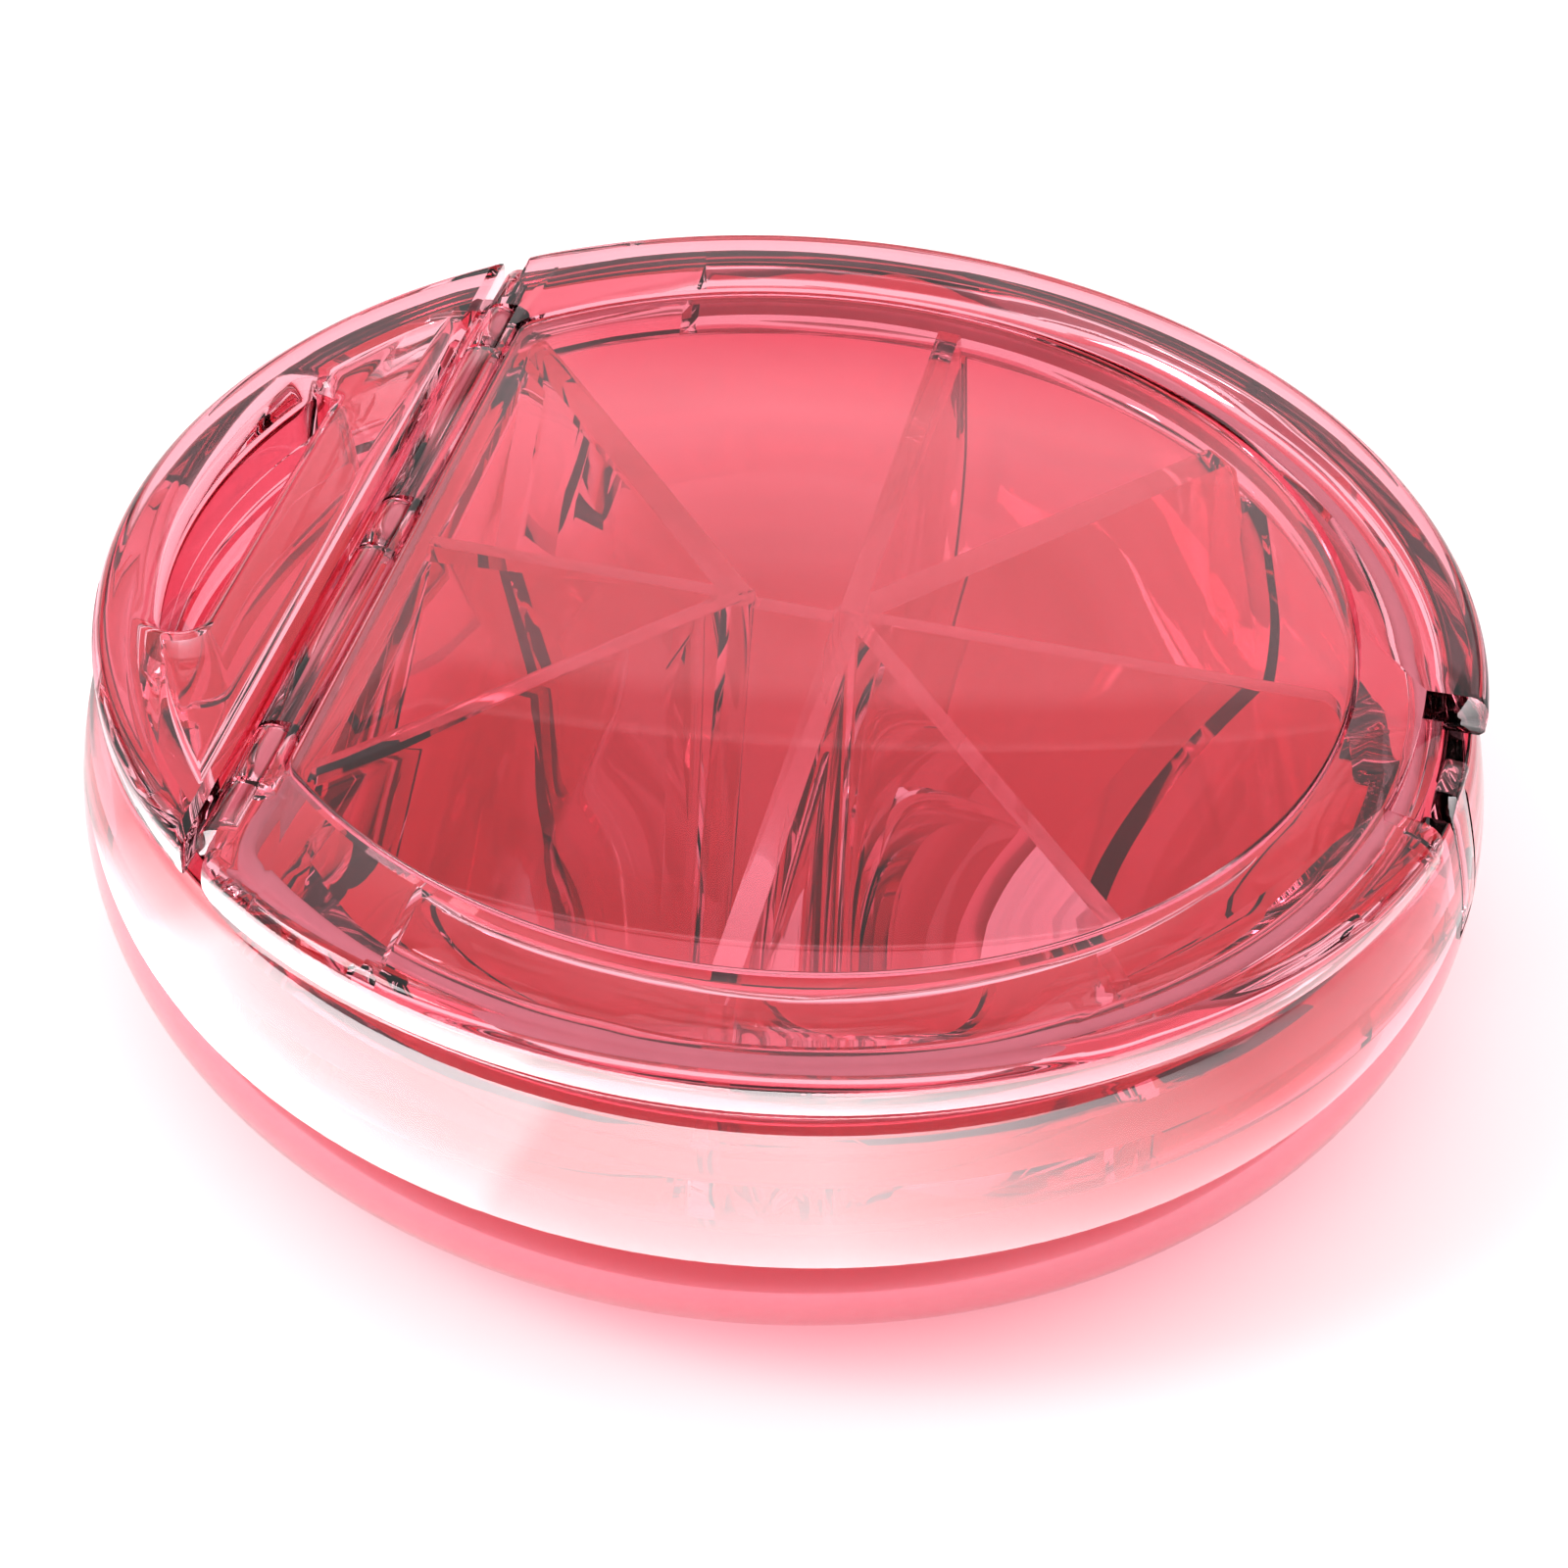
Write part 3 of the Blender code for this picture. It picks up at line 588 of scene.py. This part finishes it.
seal = {"radius": 39.3, "chord": -26.2, "corner": 2.6, "width": 1.2, "bottom": 19.8, "height": 2.2, "play": 0.2}


def sealOutline(grow):
    return cutDisc(seal["radius"] + grow, seal["chord"] - grow, seal["corner"] + grow)


def makeSeal():
    half = seal["width"] / 2
    top = seal["bottom"] + seal["height"]
    ring = newPiece("sealRing", collar(sealOutline(half), sealOutline(-half), seal["bottom"], top))
    settle(ring, bevel=0.45, segments=5)
    ring.data.materials.append(siliconeLook())
    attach(ring, "base")
    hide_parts("seal_ring")
    print("seal ring:", len(ring.data.polygons), "faces")


lid = {"windowRadius": 35.2, "windowChord": -25.0, "windowCorner": 2.2, "windowThick": 1.4, "gap": 0.3,
       "lip": 0.8, "rimRound": 1.3, "plugChord": -15.0, "barrel": 1.4, "barrelHalf": 31.5,
       "knuckles": (-24.0, 0.0, 24.0), "knuckleLength": 5.0, "play": 0.35, "pin": 0.7, "bore": 0.78,
       "pinHalf": 30.0, "seamChamfer": 0.3, "plugPlay": 0.1}


def rimProfile():
    rounding = lid["rimRound"]
    r = case["lidRadius"]
    profile = [(r - lid["seamChamfer"], case["seam"]), (r, case["seam"] + lid["seamChamfer"])]
    return profile + arcPoints(r - rounding, case["top"] - rounding, rounding, 0, 90, 14)


# rod on the hinge's own line, as thick as the lid's barrel, bore or pin
def hingeRod(kind, startY, endY, grow=0.0):
    return rodAlongY(lid[kind] + grow, case["hingeX"], case["hingeZ"], startY, endY)


def makeLidFrame():
    piece = newPiece("lidFrame", sliced(rimProfile(), case["hingeX"], True))
    plug = [(case["plugRadius"], case["plugZ"]), (case["plugRadius"], case["seam"] + case["overlap"])]
    boolean(piece, sliced(plug, lid["plugChord"], True), "UNION")
    boolean(piece, hingeRod("barrel", -lid["barrelHalf"], lid["barrelHalf"]), "UNION")
    gap = lid["gap"]
    pocket = cutDisc(lid["windowRadius"] + gap, lid["windowChord"] - gap, lid["windowCorner"])
    inside = cutDisc(lid["windowRadius"] + gap - lid["lip"], lid["windowChord"] - gap + lid["lip"],
                     lid["windowCorner"])
    lipTop = case["top"] - lid["windowThick"] - gap
    boolean(piece, stackRings([(pocket, lipTop), (pocket, case["top"] + case["past"])]), "DIFFERENCE")
    opening = stackRings([(inside, case["plugZ"] - case["past"]), (inside, lipTop + case["past"])])
    boolean(piece, opening, "DIFFERENCE")
    half = seal["width"] / 2 + seal["play"]
    groove = collar(sealOutline(half), sealOutline(-half), case["plugZ"] - case["past"],
                    seal["bottom"] + seal["height"] + seal["play"])
    boolean(piece, groove, "DIFFERENCE")
    for y in lid["knuckles"]:
        reach = lid["knuckleLength"] / 2 + lid["play"]
        room = hingeRod("barrel", y - reach, y + reach, lid["play"])
        boolean(piece, room, "DIFFERENCE")
    end = lid["pinHalf"] + gap
    boolean(piece, hingeRod("bore", -end, end), "DIFFERENCE")
    for radius, bottom in ((latch["notchRadius"], case["top"] - latch["notchDepth"]),
                           (case["plugRadius"] + lid["plugPlay"], case["plugZ"] - case["past"])):
        outline = arcPoints(0, 0, case["far"], -latch["halfNotch"], latch["halfNotch"], 24)
        outline += arcPoints(0, 0, radius, latch["halfNotch"], -latch["halfNotch"], 24)
        boolean(piece, atNotch(stackRings([(outline, bottom), (outline, case["top"] + case["past"])])),
                "DIFFERENCE")
    settle(piece, bevel=0.18)
    piece.data.materials.append(looks["lid"])
    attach(piece, "lid")
    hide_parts("lid_frame")
    print("lid frame:", len(piece.data.polygons), "faces")


def makeWindow():
    outline = cutDisc(lid["windowRadius"], lid["windowChord"], lid["windowCorner"])
    bm = stackRings([(outline, case["top"] - lid["windowThick"]), (outline, case["top"])])
    piece = newPiece("lidWindow", bm)
    settle(piece, bevel=0.22, segments=3)
    piece.data.materials.append(looks["window"])
    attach(piece, "lid")
    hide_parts("lid_window")
    print("lid window:", len(piece.data.polygons), "faces")


deck = {"plate": 1.6, "wall": 1.6, "chamfer": 0.5}


def makeDeck():
    edge = case["deckEdge"]
    piece = newPiece("rearDeck", sliced(rimProfile(), edge, False))
    plug = [(case["plugRadius"], case["plugZ"]), (case["plugRadius"], case["seam"] + case["overlap"])]
    boolean(piece, sliced(plug, edge - case["overlap"], False), "UNION")
    hollow = case["plugRadius"] - deck["wall"]
    boolean(piece, sliced([(hollow, case["plugZ"] - case["past"]), (hollow, case["top"] - deck["plate"])],
                          edge - deck["wall"], False), "DIFFERENCE")
    liner = slotOutline(strap["wall"])
    boolean(piece, stackRings([(liner, strap["linerZ"]), (liner, case["top"] - deck["plate"] / 2)]), "UNION")
    boolean(piece, slotSpace(strap["linerZ"] - case["past"], case["top"], True), "DIFFERENCE")
    bm = bmesh.new()
    cut = deck["chamfer"]
    past = case["past"]
    corner = [(edge + past, case["top"] - cut - past), (edge + past, case["top"] + past),
              (edge - cut - past, case["top"] + past)]
    near = [bm.verts.new((x, -case["far"], z)) for x, z in corner]
    far = [bm.verts.new((x, case["far"], z)) for x, z in corner]
    for i in range(3):
        bm.faces.new((near[i], near[(i + 1) % 3], far[(i + 1) % 3], far[i]))
    bm.faces.new(near[::-1])
    bm.faces.new(far)
    boolean(piece, bm, "DIFFERENCE")
    for y in lid["knuckles"]:
        reach = lid["knuckleLength"] / 2
        boolean(piece, hingeRod("barrel", y - reach, y + reach), "UNION")
        arm = box((edge - deck["wall"] / 2, y - reach, case["seam"]),
                  (case["hingeX"], y + reach, case["hingeZ"]))
        boolean(piece, arm, "UNION")
    end = lid["pinHalf"] + lid["gap"]
    boolean(piece, hingeRod("bore", -end, end), "DIFFERENCE")
    settle(piece, bevel=0.15)
    piece.data.materials.append(looks["lid"])
    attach(piece, "base")
    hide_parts("rear_deck")
    print("rear deck:", len(piece.data.polygons), "faces")


def makePin():
    pin = newPiece("hingePin", hingeRod("pin", -lid["pinHalf"], lid["pinHalf"]))
    settle(pin, bevel=0.12)
    pin.data.materials.append(steelLook())
    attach(pin, "base")
    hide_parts("hinge_pin")
    print("hinge pin:", len(pin.data.polygons), "faces")


def makeLatch():
    foot = latch["foot"]
    thick = latch["thick"]
    top = case["baseTop"] + latch["head"]
    outside = []
    for i in range(11):
        z = foot + (case["baseTop"] - foot) * i / 10
        outside.append((wallRadius(z), z))
    headR = case["baseTopRadius"]
    profile = outside + arcPoints(headR - thick / 3, top - thick / 3, thick / 3, 0, 90, 6)
    profile += [(headR - thick, top)] + [(r - thick, z) for r, z in outside[::-1]]
    bm = bmesh.new()
    half = latch["width"] / 2
    near = [bm.verts.new((r, -half, z)) for r, z in profile]
    far = [bm.verts.new((r, half, z)) for r, z in profile]
    for i in range(len(profile)):
        j = (i + 1) % len(profile)
        bm.faces.new((near[i], near[j], far[j], far[i]))
    bm.faces.new(near[::-1])
    bm.faces.new(far)
    piece = newPiece("latchTab", atNotch(bm))
    settle(piece, bevel=0.18)
    piece.data.materials.append(looks["body"])
    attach(piece, "latch")
    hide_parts("latch_tab")
    print("latch tab:", len(piece.data.polygons), "faces")


makeBase()
makeTray()
makeSeal()
makeLidFrame()
makeWindow()
makeDeck()
makePin()
makeLatch()


# the room's brightness goes by how steeply one looks up: a pale wall, a dark low gap and a bright ceiling
studio = {"floorColour": (0.93, 0.92, 0.92), "floorSize": 3.0, "floorDrop": 0.00005, "floorRoughness": 0.9,
          "roomStrength": 1.14,
          "roomSteps": [(0.16, 1.0, 0.98), (0.22, 0.42, 0.27), (0.34, 0.36, 0.22), (0.42, 1.1, 1.08),
                        (0.7, 1.0, 0.98)]}


def makeFloor():
    bm = bmesh.new()
    half = studio["floorSize"] / 2
    corners = ((-half, -half, 0), (half, -half, 0), (half, half, 0), (-half, half, 0))
    bm.faces.new([bm.verts.new(corner) for corner in corners])
    mesh = bpy.data.meshes.new("floor")
    bm.to_mesh(mesh)
    bm.free()
    floor = bpy.data.objects.new("floor", mesh)
    bpy.context.scene.collection.objects.link(floor)
    floor.location.z = -studio["floorDrop"]
    material, tree, shader = nodeMaterial("pale floor")
    coords = addNode(tree, "ShaderNodeTexCoord")
    grain = addNode(tree, "ShaderNodeTexNoise", Scale=40.0, Detail=3.0)
    tree.links.new(coords.outputs["Object"], grain.inputs["Vector"])
    ramp = addNode(tree, "ShaderNodeValToRGB")
    r, g, b = studio["floorColour"]
    ramp.color_ramp.elements[0].color = (r * 0.99, g * 0.99, b * 0.99, 1)
    ramp.color_ramp.elements[1].color = (r, g, b, 1)
    tree.links.new(grain.outputs["Fac"], ramp.inputs["Fac"])
    tree.links.new(ramp.outputs["Color"], shader.inputs["Base Color"])
    shader.inputs["Roughness"].default_value = studio["floorRoughness"]
    floor.data.materials.append(material)


def makeWorld():
    world = bpy.data.worlds.new("studio")
    bpy.context.scene.world = world
    world.use_nodes = True
    tree = world.node_tree
    link = tree.links.new
    back = tree.nodes["Background"]
    coords = addNode(tree, "ShaderNodeTexCoord")
    split = addNode(tree, "ShaderNodeSeparateXYZ")
    link(coords.outputs["Generated"], split.inputs["Vector"])
    ramp = addNode(tree, "ShaderNodeValToRGB")
    stops = ramp.color_ramp.elements
    stops[0].position = 0.0
    stops[0].color = (0.9, 0.88, 0.88, 1)
    stops[1].position = 1.0
    stops[1].color = (1.0, 1.0, 1.0, 1)
    for place, red, other in studio["roomSteps"]:
        stop = stops.new(place)
        stop.color = (red, other, other, 1)
    link(split.outputs["Z"], ramp.inputs["Fac"])
    link(ramp.outputs["Color"], back.inputs["Color"])
    back.inputs["Strength"].default_value = studio["roomStrength"]
    world.cycles.sampling_method = "NONE"


# steps are (degrees round the case, brightness)
reflector = {"inner": 55.0, "outer": 240.0, "from": -199.0, "to": 52.0, "height": 0.8, "faces": 64,
             "glow": 15.0,
             "steps": [(-194, 0.02), (-170, 0.1), (-157, 0.35), (-150, 0.7), (-124, 0.9), (-107, 1.0),
                       (-104, 0.8), (-72, 0.9), (-46, 0.5), (-22, 0.22), (8, 0.1)]}


# low glowing card round the front left, seen only as a reflection in glossy faces
def makeReflector():
    bm = bmesh.new()
    steps = reflector["faces"]
    near, far = [
        [bm.verts.new((x, y, reflector["height"]))
         for x, y in arcPoints(0, 0, reflector[edge], reflector["from"], reflector["to"], steps)]
        for edge in ("inner", "outer")
    ]
    for i in range(steps):
        bm.faces.new((near[i], far[i], far[i + 1], near[i + 1]))
    card = newPiece("reflector", bm)
    card.visible_camera = False
    card.visible_diffuse = False
    card.visible_transmission = False
    card.visible_shadow = False
    material, tree, shader = nodeMaterial("reflector glow")
    link = tree.links.new
    coords = addNode(tree, "ShaderNodeTexCoord")
    split = addNode(tree, "ShaderNodeSeparateXYZ")
    # turned so that the angle's jump lies where the card has its gap
    spun = addNode(tree, "ShaderNodeVectorRotate", rotation_type="Z_AXIS")
    middle = (reflector["from"] + reflector["to"]) / 2
    spun.inputs["Angle"].default_value = math.radians(-middle)
    link(coords.outputs["Object"], spun.inputs["Vector"])
    link(spun.outputs["Vector"], split.inputs["Vector"])
    angle = addNode(tree, "ShaderNodeMath", operation="ARCTAN2")
    link(split.outputs["Y"], angle.inputs[0])
    link(split.outputs["X"], angle.inputs[1])
    place = addNode(tree, "ShaderNodeMapRange")
    half = (reflector["to"] - reflector["from"]) / 2
    place.inputs["From Min"].default_value = math.radians(-half)
    place.inputs["From Max"].default_value = math.radians(half)
    link(angle.outputs["Value"], place.inputs["Value"])
    ramp = addNode(tree, "ShaderNodeValToRGB")
    stops = ramp.color_ramp.elements
    stops[0].position = 0.0
    stops[0].color = (0.0, 0.0, 0.0, 1)
    stops[1].position = 1.0
    stops[1].color = (0.02, 0.02, 0.02, 1)
    for heading, value in reflector["steps"]:
        stop = stops.new((heading - reflector["from"]) / (2 * half))
        stop.color = (value, value * 0.96, value * 0.97, 1)
    link(place.outputs["Result"], ramp.inputs["Fac"])
    glow = addNode(tree, "ShaderNodeEmission", Strength=reflector["glow"])
    link(ramp.outputs["Color"], glow.inputs["Color"])
    link(glow.outputs["Emission"], tree.nodes["Material Output"].inputs["Surface"])
    tree.nodes.remove(shader)
    card.data.materials.append(material)


keyLight = {"place": (-1.1, -0.5, 1.15), "aim": (0, 0, 0.01), "width": 0.5, "height": 0.7, "power": 10.0}


def makeKeyLight():
    data = bpy.data.lights.new("key from the left", "AREA")
    data.shape = "RECTANGLE"
    data.size = keyLight["width"]
    data.size_y = keyLight["height"]
    data.energy = keyLight["power"]
    lamp = bpy.data.objects.new("key from the left", data)
    bpy.context.scene.collection.objects.link(lamp)
    lamp.location = keyLight["place"]
    aim = Vector(keyLight["aim"]) - Vector(keyLight["place"])
    lamp.rotation_euler = aim.to_track_quat("-Z", "Y").to_euler()


camera = {"elevation": 39.99, "turn": 10.53, "roll": 3.45, "distance": 217.8, "right": 0.03, "down": 12.2,
          "lens": 79.58}


def makeCamera():
    e = math.radians(camera["elevation"])
    a = math.radians(camera["turn"])
    right = Vector((math.cos(a), math.sin(a), 0))
    up = Vector((-math.sin(a) * math.sin(e), math.cos(a) * math.sin(e), math.cos(e)))
    back = Vector((math.sin(a) * math.cos(e), -math.cos(a) * math.cos(e), math.sin(e)))
    place = Vector((0, 0, case["top"])) + right * camera["right"] - up * camera["down"]
    place += back * camera["distance"]
    roll = math.radians(camera["roll"])
    rolledRight = right * math.cos(roll) + up * math.sin(roll)
    rolledUp = up * math.cos(roll) - right * math.sin(roll)
    data = bpy.data.cameras.new("camera")
    data.lens = camera["lens"]
    data.sensor_width = 36
    data.clip_start = 0.01
    data.clip_end = 20
    obj = bpy.data.objects.new("camera", data)
    bpy.context.scene.collection.objects.link(obj)
    turn = Matrix((rolledRight, rolledUp, back)).transposed().to_4x4()
    obj.matrix_world = Matrix.Translation(place * mm) @ turn
    bpy.context.scene.camera = obj


makeFloor()
makeWorld()
makeKeyLight()
makeReflector()
makeCamera()
scene = bpy.context.scene
scene.view_settings.view_transform = "Standard"
scene.view_settings.look = "Medium High Contrast"
# light is passed on often enough to leave a thick stack of clear walls
bounces = {"max": 20, "transmission": 20, "glossy": 8, "diffuse": 2, "transparent_max": 32}
for kind, count in bounces.items():
    setattr(scene.cycles, "max_bounces" if kind == "max" else kind + "_bounces", count)
scene.cycles.caustics_reflective = False
scene.cycles.caustics_refractive = False
print("room, lights and camera ready")
